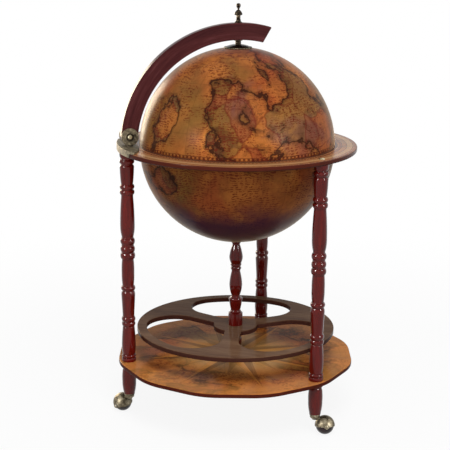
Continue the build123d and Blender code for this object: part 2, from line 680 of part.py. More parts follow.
# ---- casters --------------------------------------------------------------------------------------
# Each is built from a plane at its ball's centre: X points away from the swivel axis, Y lies along
# the tilted axle and Z is square to both.
hood_inner = ball_radius + hood_gap
hood_outer = hood_inner + hood_wall
ear_inner = ball_flat + ear_gap
ear_outer = ear_inner + ear_thickness
flange_bottom = caster_height - flange_thickness
boss_top = flange_bottom - rest_gap
boss_bottom = boss_top - boss_height
stem_top = caster_height + stem_engagement
for n, ((leg_x, leg_y), yaw) in enumerate(zip(leg_places, caster_yaw), 1):
    trail_dir = (cos(radians(yaw)), sin(radians(yaw)), 0)
    side_dir = (-trail_dir[1], trail_dir[0], 0)
    lean = radians(axle_tilt)
    up_dir = (side_dir[0] * sin(lean), side_dir[1] * sin(lean), cos(lean))
    ball_centre = (leg_x + trail * trail_dir[0], leg_y + trail * trail_dir[1], ball_radius)
    ball_plane = Plane(origin=ball_centre, x_dir=trail_dir, z_dir=up_dir)
    axle_plane = Plane(origin=ball_centre, x_dir=trail_dir, z_dir=ball_plane.y_dir)

    with BuildPart() as socket:
        post(leg_x, leg_y, flange_bottom, flange_radius, flange_thickness)
        post(leg_x, leg_y, caster_height, socket_radius, socket_length)
        drill(leg_x, leg_y, stem_top + rest_gap, stem_radius + run_fit,
              stem_top + rest_gap - flange_bottom)
    finish(socket, f"caster_socket_{n}")

    with BuildPart() as stem:
        post(leg_x, leg_y, boss_bottom, stem_radius, stem_top - boss_bottom)
        chamfer(stem.edges().sort_by(Axis.Z)[-1], length=rod_chamfer)
    finish(stem, f"caster_stem_{n}")

    with BuildPart() as hood:
        with Locations(ball_plane):
            Sphere(hood_outer)
        with BuildSketch(ball_plane.offset(-hood_skirt)):
            Rectangle(3 * hood_outer, 3 * hood_outer)
        extrude(amount=-2 * hood_outer, mode=Mode.SUBTRACT)
        with BuildSketch(upright(leg_x, leg_y, boss_bottom)):
            with BuildLine():
                shoulder = (boss_radius, boss_height / 2)
                tip = (boss_tip_radius, 0)
                Polyline((0, 0), tip)
                RadiusArc(tip, shoulder, boss_radius)
                Polyline(shoulder, (boss_radius, boss_height), (0, boss_height), (0, 0))
            make_face()
        turn(leg_x, leg_y)
        bridge_plane = Plane(origin=(leg_x, leg_y, boss_bottom), x_dir=trail_dir,
                             z_dir=(0, 0, 1))
        with BuildSketch(bridge_plane):
            Rectangle(trail, bridge_width, align=(Align.MIN, Align.CENTER))
        extrude(amount=bridge_height)
        with Locations(ball_plane):
            Sphere(hood_inner, mode=Mode.SUBTRACT)
        for side in (-1, 1):
            with BuildSketch(axle_plane.offset(side * ear_inner)):
                Circle(ear_radius)
            extrude(amount=side * ear_thickness)
        with BuildSketch(axle_plane.offset(-ear_outer)):
            Circle(axle_radius + seat_fit)
        extrude(amount=2 * ear_outer, mode=Mode.SUBTRACT)
        drill(leg_x, leg_y, boss_top, stem_radius + seat_fit, boss_height)
    finish(hood, f"caster_hood_{n}")

    with BuildPart() as axle:
        with BuildSketch(axle_plane.offset(-ear_outer)):
            Circle(axle_radius)
        extrude(amount=2 * ear_outer)
        for side in (-1, 1):
            with BuildSketch(axle_plane.offset(side * ear_outer)):
                Circle(axle_head_radius)
            extrude(amount=side * axle_head_height, taper=axle_head_taper)
    finish(axle, f"caster_axle_{n}")

    with BuildPart() as wheel:
        with Locations(ball_plane):
            Sphere(ball_radius)
        for side in (-1, 1):
            with BuildSketch(axle_plane.offset(side * ball_flat)):
                Circle(ball_radius)
            extrude(amount=side * ball_radius, mode=Mode.SUBTRACT)
        with BuildSketch(axle_plane.offset(-ball_flat)):
            Circle(axle_radius + run_fit)
        extrude(amount=2 * ball_flat, mode=Mode.SUBTRACT)
    finish(wheel, f"caster_wheel_{n}")
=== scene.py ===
import math

import bpy
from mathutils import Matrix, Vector


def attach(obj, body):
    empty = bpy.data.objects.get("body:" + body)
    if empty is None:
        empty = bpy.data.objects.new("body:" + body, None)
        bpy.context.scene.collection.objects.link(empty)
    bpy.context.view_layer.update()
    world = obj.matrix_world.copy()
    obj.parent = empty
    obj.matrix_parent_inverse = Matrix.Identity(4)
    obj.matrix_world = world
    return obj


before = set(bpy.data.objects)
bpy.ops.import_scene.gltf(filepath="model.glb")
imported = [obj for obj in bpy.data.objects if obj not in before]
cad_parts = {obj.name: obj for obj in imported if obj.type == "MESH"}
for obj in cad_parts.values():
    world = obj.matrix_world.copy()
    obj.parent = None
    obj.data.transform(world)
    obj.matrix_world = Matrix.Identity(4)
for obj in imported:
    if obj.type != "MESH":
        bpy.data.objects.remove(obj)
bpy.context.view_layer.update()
print("frame loaded")

# heights and places of the piece, in metres and degrees
plan = {
    "globeZ": 0.566,
    "globeRadius": 0.2,
    "ringTop": 0.57,
    "shelfTop": 0.117,
    "rackTop": 0.179,
    "armTurn": 30.0,             # the arm's plane, turned about Z from the XZ plane
    "pin": (-0.22504, 0.5928),   # hinge pin in the arm's plane: along it and up
    "armArc": (0.572, 0.226),    # height of the arc's centre and its middle radius
    "cheekFace": 0.0143,         # arm's middle plane to the hinge's front face
}


def deselectAll():
    if bpy.context.object and bpy.context.object.mode != "OBJECT":
        bpy.ops.object.mode_set(mode="OBJECT")
    bpy.ops.object.select_all(action="DESELECT")


def linear(red, green, blue):
    # a colour given 0 to 255, as the shader wants it
    def one(value):
        value = value / 255
        return value / 12.92 if value <= 0.04045 else ((value + 0.055) / 1.055) ** 2.4

    return (one(red), one(green), one(blue), 1.0)


class Board:
    # one material's node tree, with short words for the nodes this file uses
    def __init__(self, name):
        self.material = bpy.data.materials.new(name)
        self.material.use_nodes = True
        self.tree = self.material.node_tree
        self.shader = self.tree.nodes["Principled BSDF"]
        self.coords = self.add("ShaderNodeTexCoord").outputs["Object"]

    def add(self, kind, inputs=None, **settings):
        made = self.tree.nodes.new(kind)
        for key, value in settings.items():
            setattr(made, key, value)
        for key, value in (inputs or {}).items():
            self.put(made.inputs[key], value)
        return made

    def put(self, socket, value):
        if isinstance(value, bpy.types.NodeSocket):
            self.tree.links.new(value, socket)
        elif value is not None:
            socket.default_value = value

    def math(self, operation, first, second=None, third=None):
        made = self.add("ShaderNodeMath", {0: first, 1: second, 2: third}, operation=operation)
        return made.outputs[0]

    def moved(self, vector, centre=(0, 0, 0), scale=(1, 1, 1), turn=(0, 0, 0)):
        inputs = {"Vector": vector, "Location": centre, "Scale": scale, "Rotation": turn}
        return self.add("ShaderNodeMapping", inputs).outputs[0]

    def parts(self, vector):
        return self.add("ShaderNodeSeparateXYZ", {0: vector}).outputs

    def joined(self, x=0.0, y=0.0, z=0.0):
        return self.add("ShaderNodeCombineXYZ", {0: x, 1: y, 2: z}).outputs[0]

    def noise(self, vector, scale, detail=4.0, roughness=0.5, distortion=0.0, output=0):
        inputs = {"Vector": vector, "Scale": scale, "Detail": detail, "Roughness": roughness,
                  "Distortion": distortion}
        return self.add("ShaderNodeTexNoise", inputs).outputs[output]

    def cells(self, vector, scale, feature="F1", output="Distance"):
        inputs = {"Vector": vector, "Scale": scale}
        return self.add("ShaderNodeTexVoronoi", inputs, feature=feature).outputs[output]

    def ramp(self, value, stops, interpolation="LINEAR"):
        made = self.add("ShaderNodeValToRGB", {0: value})
        bar = made.color_ramp
        bar.interpolation = interpolation
        while len(bar.elements) < len(stops):
            bar.elements.new(0.5)
        for element, (place, colour) in zip(bar.elements, stops):
            element.position = place
            element.color = colour
        return made.outputs[0]

    def step(self, value, low, high):
        # 0 below low, 1 above high, smooth between
        inputs = {"Value": value, "From Min": low, "From Max": high}
        made = self.add("ShaderNodeMapRange", inputs, interpolation_type="SMOOTHSTEP")
        return made.outputs[0]

    def band(self, value, middle, half, soft):
        # 1 where value is within half of middle
        away = self.math("ABSOLUTE", self.math("SUBTRACT", value, middle))
        return self.step(away, half + soft, half)

    def mix(self, factor, first, second, blend="MIX"):
        made = self.add("ShaderNodeMix", data_type="RGBA", blend_type=blend)
        self.put(made.inputs[0], factor)
        self.put(made.inputs[6], first)
        self.put(made.inputs[7], second)
        return made.outputs[2]

    def times(self, *values):
        total = values[0]
        for value in values[1:]:
            total = self.math("MULTIPLY", total, value)
        return total

    def bump(self, height, strength, distance):
        inputs = {"Height": height, "Strength": strength, "Distance": distance}
        return self.add("ShaderNodeBump", inputs).outputs[0]

    def finish(self, colour, roughness, normal, **values):
        self.put(self.shader.inputs["Base Color"], colour)
        self.put(self.shader.inputs["Roughness"], roughness)
        self.put(self.shader.inputs["Normal"], normal)
        for key, value in values.items():
            self.shader.inputs[key.replace("_", " ")].default_value = value
        return self.material


# stained and lacquered wood
woodLook = {
    "figure": (9.0, 5, 0.6, 1.5),       # noises: per metre, detail, roughness, distortion
    "fibres": (150.0, 6, 0.7, 0.4),
    "pores": (450.0, 2, 0.6),
    "figureShare": 0.6,
    "toneStops": (0.34, 0.5, 0.68),     # where dark, middle and light lie
    "poreFrom": (0.38, 0.3),
    "poreStain": 0.45,
    "sideStain": 0.85,
    "sideSoft": 0.0005,
    "fibreRough": 0.06,
    "poreStrength": 0.2,
    "poreDepth": 0.00006,
    "coatIor": 1.31,
    "coatRoughness": 0.09,
    "lacquerTint": (1.0, 0.74, 0.55, 1.0),  # the gloss takes some of the wood's warmth
}


def woodMaterial(name, dark, middle, light, grain=(1, 1, 0.12), roughness=0.14, gloss=0.1,
                 coat=0.0, sides=None, bent=None):
    # sides: (height, colour), the stain of what lies under that height
    # bent: height of the centre and radius of the arc that the grain follows, in the arm's plane
    board = Board(name)
    along = board.moved(board.coords, scale=grain)
    if bent:
        turned = board.moved(board.coords, turn=(0, 0, -math.radians(plan["armTurn"])))
        sideways, out, up = board.parts(board.moved(turned, centre=(0, 0, -bent[0])))
        reach = board.math("SQRT", board.math("ADD", board.times(sideways, sideways),
                                              board.times(up, up)))
        angle = board.math("ARCTAN2", up, sideways)
        along = board.moved(board.joined(reach, board.times(angle, bent[1]), out), scale=grain)
    figure, fibres, pores = (board.noise(along, *woodLook[part])
                             for part in ("figure", "fibres", "pores"))
    share = woodLook["figureShare"]
    tone = board.math("ADD", board.times(figure, share), board.times(fibres, 1 - share))
    colour = board.ramp(tone, list(zip(woodLook["toneStops"], (dark, middle, light))))
    pitted = board.step(pores, *woodLook["poreFrom"])
    colour = board.mix(board.times(pitted, woodLook["poreStain"]), colour, dark)
    if sides:
        height = board.parts(board.coords)[2]
        under = board.step(height, sides[0], sides[0] - woodLook["sideSoft"])
        stained = board.mix(woodLook["sideStain"], colour, sides[1])
        colour = board.mix(under, colour, stained)
    rough = board.math("ADD", roughness, board.times(fibres, woodLook["fibreRough"]))
    bumped = board.bump(pores, woodLook["poreStrength"], woodLook["poreDepth"])
    return board.finish(colour, rough, bumped, Specular_IOR_Level=gloss, Coat_Weight=coat,
                        Specular_Tint=woodLook["lacquerTint"], Coat_IOR=woodLook["coatIor"],
                        Coat_Roughness=woodLook["coatRoughness"])


cherry = woodMaterial("darkCherry", linear(56, 6, 5), linear(90, 12, 8), linear(116, 24, 16),
                      gloss=0.03, coat=1.0)
cherryArm = woodMaterial("darkCherryArm", linear(46, 19, 24), linear(78, 37, 38),
                         linear(120, 70, 72), grain=(1, 0.07, 0.5), roughness=0.26, gloss=0.05,
                         bent=plan["armArc"])
rackBrown = woodMaterial("rackBrown", linear(80, 56, 44), linear(104, 76, 57), linear(128, 98, 74),
                         grain=(0.12, 1, 1), roughness=0.07, gloss=0.008,
                         sides=(plan["rackTop"] - 0.0012, linear(62, 30, 26)))
traySatin = woodMaterial("traySatin", linear(60, 26, 20), linear(84, 40, 30), linear(104, 54, 40),
                         grain=(0.12, 1, 1), roughness=0.35, gloss=0.15)
beech = woodMaterial("plainBeech", linear(160, 120, 80), linear(186, 146, 102),
                     linear(204, 166, 120), roughness=0.5, gloss=0.2)

# metals: dark, middle and light tone of each
metalLook = {
    "antique": (linear(58, 52, 40), linear(114, 103, 82), linear(156, 145, 116)),
    "dome": (linear(120, 108, 78), linear(186, 174, 138), linear(220, 210, 178)),
    "bronze": (linear(20, 17, 14), linear(46, 38, 30), linear(98, 86, 68)),
    "pale": (linear(62, 54, 42), linear(120, 110, 90), linear(168, 158, 136)),
    "steel": (linear(120, 120, 122), linear(168, 168, 170), linear(196, 196, 198)),
    "toneStops": (0.35, 0.52, 0.7),
    "blotches": (5, 0.65, 0.6),     # noises: detail, roughness, distortion
    "scratches": (3, 0.6),
    "scratchFactor": 9,             # scratches to a blotch
    "scratchStrength": 0.3,
    "blotchRough": 0.8,
    # tarnish and painted shade round the hinge pin's head: reach, half width and soft edge, in
    # metres
    "headTarnishAndShade": (0.0066, 0.0011, 0.0008),
    # tarnish and painted shade in the joint below the disc: height over the ring, half width and
    # soft edge
    "jointHeight": 0.0058,
    "jointTarnishAndShade": (0.0007, 0.0006),
    "tarnishAndShade": linear(30, 24, 16),
    "tarnishAndShadeShare": 0.85,
}


def metalMaterial(name, tones, roughness, patina=90.0, bumpDepth=0.00004, recess=False,
                  bare=1.0):
    # patina: blotches per metre; recess: with tarnish and painted shade in the hinge's recesses
    # bare: how clean the metal is, 1 without any film
    board = Board(name)
    blotch = board.noise(board.coords, patina, *metalLook["blotches"])
    scratches = board.noise(board.coords, patina * metalLook["scratchFactor"],
                            *metalLook["scratches"])
    colour = board.ramp(blotch, list(zip(metalLook["toneStops"], tones)))
    if recess:
        turned = board.moved(board.coords, turn=(0, 0, -math.radians(plan["armTurn"])))
        along, out, up = board.parts(turned)
        sideways = board.math("SUBTRACT", along, plan["pin"][0])
        upwards = board.math("SUBTRACT", up, plan["pin"][1])
        away = board.math("SQRT", board.math("ADD", board.times(sideways, sideways),
                                             board.times(upwards, upwards)))
        head = board.band(away, *metalLook["headTarnishAndShade"])
        joint = board.band(up, plan["ringTop"] + metalLook["jointHeight"],
                           *metalLook["jointTarnishAndShade"])
        # tarnish and painted shade in the recess round the pin's head and in the joint
        kept = board.times(board.math("MAXIMUM", head, joint), metalLook["tarnishAndShadeShare"])
        colour = board.mix(kept, colour, metalLook["tarnishAndShade"])
    rough = board.math("ADD", roughness,
                       board.times(blotch, roughness * metalLook["blotchRough"]))
    bumped = board.bump(scratches, metalLook["scratchStrength"], bumpDepth)
    return board.finish(colour, rough, bumped, Metallic=bare)


antiqueBrass = metalMaterial("antiqueBrass", metalLook["antique"], 0.4, 160.0, recess=True,
                             bare=0.75)
domeBrass = metalMaterial("rubbedBrass", metalLook["dome"], 0.2, 120.0)
darkBronze = metalMaterial("darkBronze", metalLook["bronze"], 0.2, 150.0)
beadBronze = metalMaterial("rubbedBeads", metalLook["antique"], 0.26, 150.0)
paleBrass = metalMaterial("paleBrass", metalLook["pale"], 0.34, 90.0, 0.00001)
zincSteel = metalMaterial("zincSteel", metalLook["steel"], 0.28, 60.0)


# moulded plastic
plasticLook = {
    "clouds": (60.0, 4, 0.6),       # noises: per metre, detail, roughness
    "fine": (1200.0, 2, 0.5),
    "toneStops": (0.35, 0.65),
    "cloudRough": 0.12,
    "fineStrength": 0.15,
    "fineDepth": 0.00003,
    "gloss": 0.3,
}


def plasticMaterial(name, dark, light, roughness):
    board = Board(name)
    cloud = board.noise(board.coords, *plasticLook["clouds"])
    fine = board.noise(board.coords, *plasticLook["fine"])
    colour = board.ramp(cloud, list(zip(plasticLook["toneStops"], (dark, light))))
    rough = board.math("ADD", roughness, board.times(cloud, plasticLook["cloudRough"]))
    bumped = board.bump(fine, plasticLook["fineStrength"], plasticLook["fineDepth"])
    return board.finish(colour, rough, bumped, Specular_IOR_Level=plasticLook["gloss"])


ballPlastic = plasticMaterial("ballPlastic", linear(24, 14, 15), linear(46, 28, 28), 0.16)
nylon = plasticMaterial("naturalNylon", linear(214, 208, 190), linear(228, 222, 206), 0.4)

# the printed map of the globe, the ring and the shelf
mapLook = {
    "coast": 0.53,          # the level of the terrain noise where land begins
    "coastSoft": 0.002,
    "nearLand": (-0.03, 0.01),      # levels counted from the coast's
    "bend": 0.07,           # metres that the countries' borders are pushed about
    "lands": 13.0,          # per metre, size of the countries
    "rowSpacing": 0.0024,   # metres between the rows of small strokes
    "rowSway": 0.016,
    "rowWidth": (0.0015, 0.0006),
    "rowStretch": (1, 1, 0.35),
    "seaStops": [(0.26, linear(112, 60, 32)), (0.42, linear(142, 80, 40)),
                 (0.52, linear(166, 98, 46)), (0.62, linear(176, 112, 50)),
                 (0.76, linear(130, 76, 44))],
    "landStops": [(0.0, linear(96, 70, 36)), (0.2, linear(134, 66, 38)),
                  (0.38, linear(100, 74, 36)), (0.55, linear(150, 88, 42)),
                  (0.72, linear(112, 58, 38)), (0.86, linear(110, 82, 46))],
    "landShare": 0.7,
    "cloudNoise": (4, 0.55, 0.3),       # detail, roughness, distortion
    # clouds of ink over the sea: colour, per metre, where one starts and is full, share
    "clouds": ((linear(92, 72, 36), 5.0, 0.5, 0.68, 0.75),
               (linear(142, 66, 36), 7.0, 0.52, 0.66, 0.7),
               (linear(208, 134, 48), 6.0, 0.6, 0.74, 0.68)),
    "haze": linear(88, 54, 56),
    "hazeShare": 0.6,
    "shade": linear(66, 38, 22),
    "shadeShare": 0.75,
    "ink": linear(44, 22, 14),
    "redInk": linear(84, 22, 16),
    "aged": (0.7, 0.66),    # darkest grain of the old paper, and how much lighter it gets
    "lacquerWave": (14.0, 2, 0.5),
    "lacquerGrain": (90.0, 3, 0.5),
    "waveStrength": 0.12,
    "waveDepth": 0.002,
    "grainRough": 0.08,
    "lacquerTint": (1.0, 0.84, 0.64, 1.0),
    "sheen": linear(255, 224, 172),
    "sheenRoughness": 0.28,
    # stain of a board's edge and underside, and how far under the top each starts and is full
    "edge": linear(84, 34, 24),
    "edgeFrom": (0.0006, 0.0011),
    "underside": linear(66, 36, 28),
    "undersideFrom": (0.008, 0.0088),
}
# noises of the print: per metre, detail, roughness, distortion
mapNoises = {
    "wobble": (9.0, 3, 0.6),
    "terrain": (6.2, 13, 0.56, 0.35),
    "sea": (9.0, 7, 0.64, 0.4),
    "haze": (9.0, 4, 0.6, 0.3),
    "hills": (19.0, 5, 0.62, 0.5),
    "rivers": (17.0, 7, 0.6, 0.8),
    "sway": (55.0, 3, 0.6),
    "patches": (20.0, 3, 0.5),
    "breaks": (200.0, 2, 0.5),
    "swirls": (46.0, 2, 0.4, 3.0),
    "swirlPatches": (12.0, 2, 0.4),
    "grain": (130.0, 4, 0.7),
}
# where a noise or a border starts to show and where it is full
mapEdges = {
    "haze": (0.52, 0.68),
    "hills": (0.52, 0.7),
    "patches": (0.38, 0.52),
    "breaks": (0.44, 0.54),
    "swirlPatches": (0.54, 0.62),
    "border": (0.03, 0.012),
}
# lines that follow a noise: level, half width and soft edge
# the levels of halo, coast and ripple are counted from the coast's own
mapBands = {
    "halo": (0.0, 0.006, 0.036),
    "coast": (0.0, 0.005, 0.006),
    "ripple": (-0.024, 0.001, 0.002),
    "river": (0.5, 0.003, 0.005),
    "flourish": (0.5, 0.008, 0.012),
}
# printed lines, strongest last: share and ink
mapLines = {
    "halo": (0.5, "ink"),
    "ripple": (0.3, "ink"),
    "grid": (0.2, "ink"),
    "river": (0.6, "ink"),
    "border": (0.5, "redInk"),
    "strokes": (0.75, "redInk"),
    "flourish": (0.85, "redInk"),
    "coast": (0.9, "ink"),
}


def mapColours(board, place, grid, seed=(0.0, 0.0, 0.0)):
    # place: where the pattern is read, in metres; grid: factor of the grid's lines
    spot = board.moved(place, centre=seed)

    def cloudy(name, where=None, **settings):
        return board.noise(where or spot, *mapNoises[name], **settings)

    def showing(name, where=None):
        return board.step(cloudy(name, where), *mapEdges[name])

    away = board.add("ShaderNodeVectorMath",
                     {0: cloudy("wobble", output="Color"), 1: (0.5, 0.5, 0.5)},
                     operation="SUBTRACT").outputs[0]
    shifted = board.add("ShaderNodeVectorMath", {0: away, "Scale": mapLook["bend"]},
                        operation="SCALE").outputs[0]
    bent = board.add("ShaderNodeVectorMath", {0: spot, 1: shifted}, operation="ADD").outputs[0]
    terrain = cloudy("terrain")
    coastAt = mapLook["coast"]
    land = board.step(terrain, coastAt - mapLook["coastSoft"], coastAt + mapLook["coastSoft"])
    sea = board.ramp(cloudy("sea"), mapLook["seaStops"])
    for tint, scale, low, high, amount in mapLook["clouds"]:
        aside = board.moved(spot, centre=(scale, 2 * scale, 0.3))
        cloud = board.noise(aside, scale, *mapLook["cloudNoise"])
        sea = board.mix(board.times(board.step(cloud, low, high), amount), sea, tint)
    country = board.parts(board.cells(bent, mapLook["lands"], output="Color"))[0]
    landColour = board.ramp(country, mapLook["landStops"], "CONSTANT")
    colour = board.mix(board.times(land, mapLook["landShare"]), sea, landColour)
    colour = board.mix(board.times(showing("haze"), mapLook["hazeShare"]), colour,
                       mapLook["haze"])
    nearLand = board.step(terrain, *(coastAt + level for level in mapLook["nearLand"]))
    colour = board.mix(board.times(showing("hills"), nearLand, mapLook["shadeShare"]), colour,
                       mapLook["shade"])
    lines = {"grid": grid}
    for name in ("halo", "coast", "ripple"):
        level, half, soft = mapBands[name]
        lines[name] = board.band(terrain, coastAt + level, half, soft)
    borders = board.cells(bent, mapLook["lands"], "DISTANCE_TO_EDGE")
    lines["border"] = board.times(board.step(borders, *mapEdges["border"]), land)
    lines["river"] = board.times(board.band(cloudy("rivers"), *mapBands["river"]), land)
    # rows of small strokes: hills on land, waves at sea
    sway = board.times(cloudy("sway"), mapLook["rowSway"])
    rows = board.math("PINGPONG", board.math("ADD", board.parts(spot)[2], sway),
                      mapLook["rowSpacing"])
    stretched = board.moved(spot, scale=mapLook["rowStretch"])
    lines["strokes"] = board.times(board.step(rows, *mapLook["rowWidth"]), showing("patches"),
                                   showing("breaks", stretched))
    lines["flourish"] = board.times(board.band(cloudy("swirls"), *mapBands["flourish"]),
                                    showing("swirlPatches"))
    for name, (amount, ink) in mapLines.items():
        colour = board.mix(board.times(lines[name], amount), colour, mapLook[ink])
    darkest, lighter = mapLook["aged"]
    aged = board.math("ADD", darkest, board.times(cloudy("grain"), lighter))
    return board.mix(1.0, colour, board.joined(aged, aged, aged), "MULTIPLY")


def flatPolar(board, place):
    # distance from the stand's centre line and direction round it
    x, y, z = board.parts(place)
    across = board.math("SQRT", board.math("ADD", board.times(x, x), board.times(y, y)))
    return across, board.math("ARCTAN2", y, x), z


def ticks(board, angle, look):
    # a tick every two steps
    away = board.math("PINGPONG", angle, math.radians(look["tickStep"]))
    return board.step(away, *(math.radians(edge) for edge in look["tickFrom"]))


def lacquered(board, colour, roughness, gloss, sheen=0.0):
    # sheen: how much paler the print gets towards its outline
    wave = board.noise(board.coords, *mapLook["lacquerWave"])
    grain = board.noise(board.coords, *mapLook["lacquerGrain"])
    rough = board.math("ADD", roughness, board.times(grain, mapLook["grainRough"]))
    bumped = board.bump(wave, mapLook["waveStrength"], mapLook["waveDepth"])
    return board.finish(colour, rough, bumped,
                        Specular_IOR_Level=gloss, Specular_Tint=mapLook["lacquerTint"],
                        Sheen_Weight=sheen, Sheen_Roughness=mapLook["sheenRoughness"],
                        Sheen_Tint=mapLook["sheen"])


# latitudes and widths of lines in radians, steps and ticks in degrees
globeLook = {
    "gridStep": 15.0,
    "gridLine": (0.0052, 0.0026),
    "paintedLightAbove": (-0.02, 0.02),
    "paintedLightFrom": (0.85, 0.2),
    "paintedLightAmount": 0.42,         # how much lighter painted light makes the print above the rim
    "lessBlue": 0.16,
    "paintedShadeBelow": (0.0, -0.05),
    "paintedShadeAmount": 0.08,        # how much darker painted shade makes it below the rim
    "northFrom": (1.12, 1.42),
    "northShare": 0.55,
    "southFrom": (-0.2, -0.5),
    "southShare": 0.86,
    "southCloud": (9.0, 4, 0.6),
    "polar": linear(60, 28, 54),
    # the ruler's inner and outer line, and how soft they are
    "ruler": (0.03, 0.052),
    "rulerSoft": 0.001,
    "rail": (0.055, 0.0016, 0.001),     # latitude, half width and soft edge
    "tickStep": 1.25,
    "tickFrom": (0.45, 0.7),
    "rulerShare": 0.78,
    "rulerInkAndSeamShade": linear(70, 22, 18),
    "skin": (0.0004, 0.001),    # metres under the outside where the lining begins
    "lining": [(0.3, linear(146, 104, 62)), (0.7, linear(178, 136, 86))],
    "liningNoise": (7.0, 5, 0.6),
    "liningRings": 10.0,
    "ringLine": (0.006, 0.003),
    "starScale": 34.0,
    "starSize": (0.1, 0.05),
    "liningInk": linear(84, 50, 30),
    "liningShare": 0.5,
}


def globeRuler(board, latitude, longitude):
    # dark rim of painted shade where lid and bowl meet, and a ruler with ticks above and below it
    level = board.math("ABSOLUTE", latitude)
    inner, outer = globeLook["ruler"]
    soft = globeLook["rulerSoft"]
    inBand = board.times(board.step(level, outer + soft, outer - soft),
                         board.step(level, inner - soft, inner + soft))
    tick = ticks(board, longitude, globeLook)
    # the rail is printed; the band inside the ruler's inner line is painted shade at the seam
    railsAndSeamShade = board.math("MAXIMUM", board.band(level, *globeLook["rail"]),
                       board.step(level, inner + soft, inner - soft))
    return board.math("MAXIMUM", board.times(inBand, tick), railsAndSeamShade)


def globeLining(board, place, latitude):
    # aged paper with rings and stars
    paper = board.ramp(board.noise(place, *globeLook["liningNoise"]), globeLook["lining"])
    ringStep = math.radians(globeLook["liningRings"])
    rings = board.step(board.math("PINGPONG", latitude, ringStep), *globeLook["ringLine"])
    stars = board.step(board.cells(place, globeLook["starScale"]), *globeLook["starSize"])
    printed = board.times(board.math("MAXIMUM", rings, stars), globeLook["liningShare"])
    return board.mix(printed, paper, globeLook["liningInk"])


def globeMap():
    board = Board("globeMap")
    place = board.moved(board.coords, centre=(0, 0, -plan["globeZ"]))
    across, longitude, height = flatPolar(board, place)
    latitude = board.math("ARCTAN2", height, across)
    half = math.radians(globeLook["gridStep"]) / 2
    latLine = board.step(board.math("PINGPONG", latitude, half), *globeLook["gridLine"])
    lonAway = board.times(board.math("PINGPONG", longitude, half),
                          board.math("COSINE", latitude))
    lonLine = board.step(lonAway, *globeLook["gridLine"])
    colour = mapColours(board, place, board.math("MAXIMUM", latLine, lonLine))
    # painted light makes the print lighter and warmer just above the rim, and painted shade makes
    # it darker below it
    paintedLight = board.times(board.step(latitude, *globeLook["paintedLightFrom"]),
                       board.step(latitude, *globeLook["paintedLightAbove"]))
    paintedShade = board.step(latitude, *globeLook["paintedShadeBelow"])
    shade = board.math("SUBTRACT",
                       board.math("ADD", 1.0, board.times(paintedLight, globeLook["paintedLightAmount"])),
                       board.times(paintedShade, globeLook["paintedShadeAmount"]))
    blueness = board.math("SUBTRACT", shade, board.times(paintedLight, globeLook["lessBlue"]))
    colour = board.mix(1.0, colour, board.joined(shade, shade, blueness), "MULTIPLY")
    # darker round both poles
    north = board.times(board.step(latitude, *globeLook["northFrom"]), globeLook["northShare"])
    cloud = board.math("MULTIPLY_ADD", board.noise(place, *globeLook["southCloud"]), 0.5,
                       latitude)
    south = board.times(board.step(cloud, *globeLook["southFrom"]), globeLook["southShare"])
    colour = board.mix(board.math("MAXIMUM", north, south), colour, globeLook["polar"])
    # the ruler's ticks and rail are print; its inner band is painted shade at the seam
    ruler = globeRuler(board, latitude, longitude)
    colour = board.mix(board.times(ruler, globeLook["rulerShare"]), colour,
                       globeLook["rulerInkAndSeamShade"])
    depth = board.math("SQRT", board.math("ADD", board.times(across, across),
                                          board.times(height, height)))
    inside = board.step(depth, *(plan["globeRadius"] - under for under in globeLook["skin"]))
    colour = board.mix(inside, colour, globeLining(board, place, latitude))
    return lacquered(board, colour, roughness=0.27, gloss=0.028, sheen=0.42)


def boardEdges(board, colour, top):
    # stained edge under the print, plain stain below
    height = board.parts(board.coords)[2]
    for part in ("edge", "underside"):
        under = board.step(height, *(top - depth for depth in mapLook[part + "From"]))
        colour = board.mix(under, colour, mapLook[part])
    return colour


# reaches in metres from the stand's centre line, angles in degrees
ringLook = {
    "seed": (0.31, 0.12, 0.4),      # part of the pattern that the print shows
    "base": linear(176, 126, 84),
    "baseShare": 0.5,
    "spokeStep": 5.0,
    "spokeLine": (0.0006, 0.0003),
    "spokeFrom": (0.2225, 0.2235),
    "circle": (0.2235, 0.0004, 0.0004),     # bands: middle, half width and soft edge
    "paleBand": (0.2305, 0.0055, 0.0003),
    "pale": linear(222, 184, 132),
    "paleShare": 0.28,
    "redBands": ((0.2115, 0.0011, 0.0003), (0.2405, 0.0011, 0.0003)),
    "red": linear(132, 44, 34),
    "redShare": 0.45,
    # painted shade: the dark inner rim where the globe meets the ring
    "rim": (0.206, 0.2052),
    "jointShadeTone": linear(66, 26, 26),
    "rimShare": 0.8,
    "lines": (0.209, 0.2145, 0.2245, 0.2365, 0.2428),
    "fineLine": (0.0003, 0.0003),
    "lineShare": 0.75,
    "tickBand": (0.2122, 0.0016, 0.0004),
    "tickStep": 1.0,
    "tickFrom": (0.4, 0.6),
    "tickShare": 0.8,
}


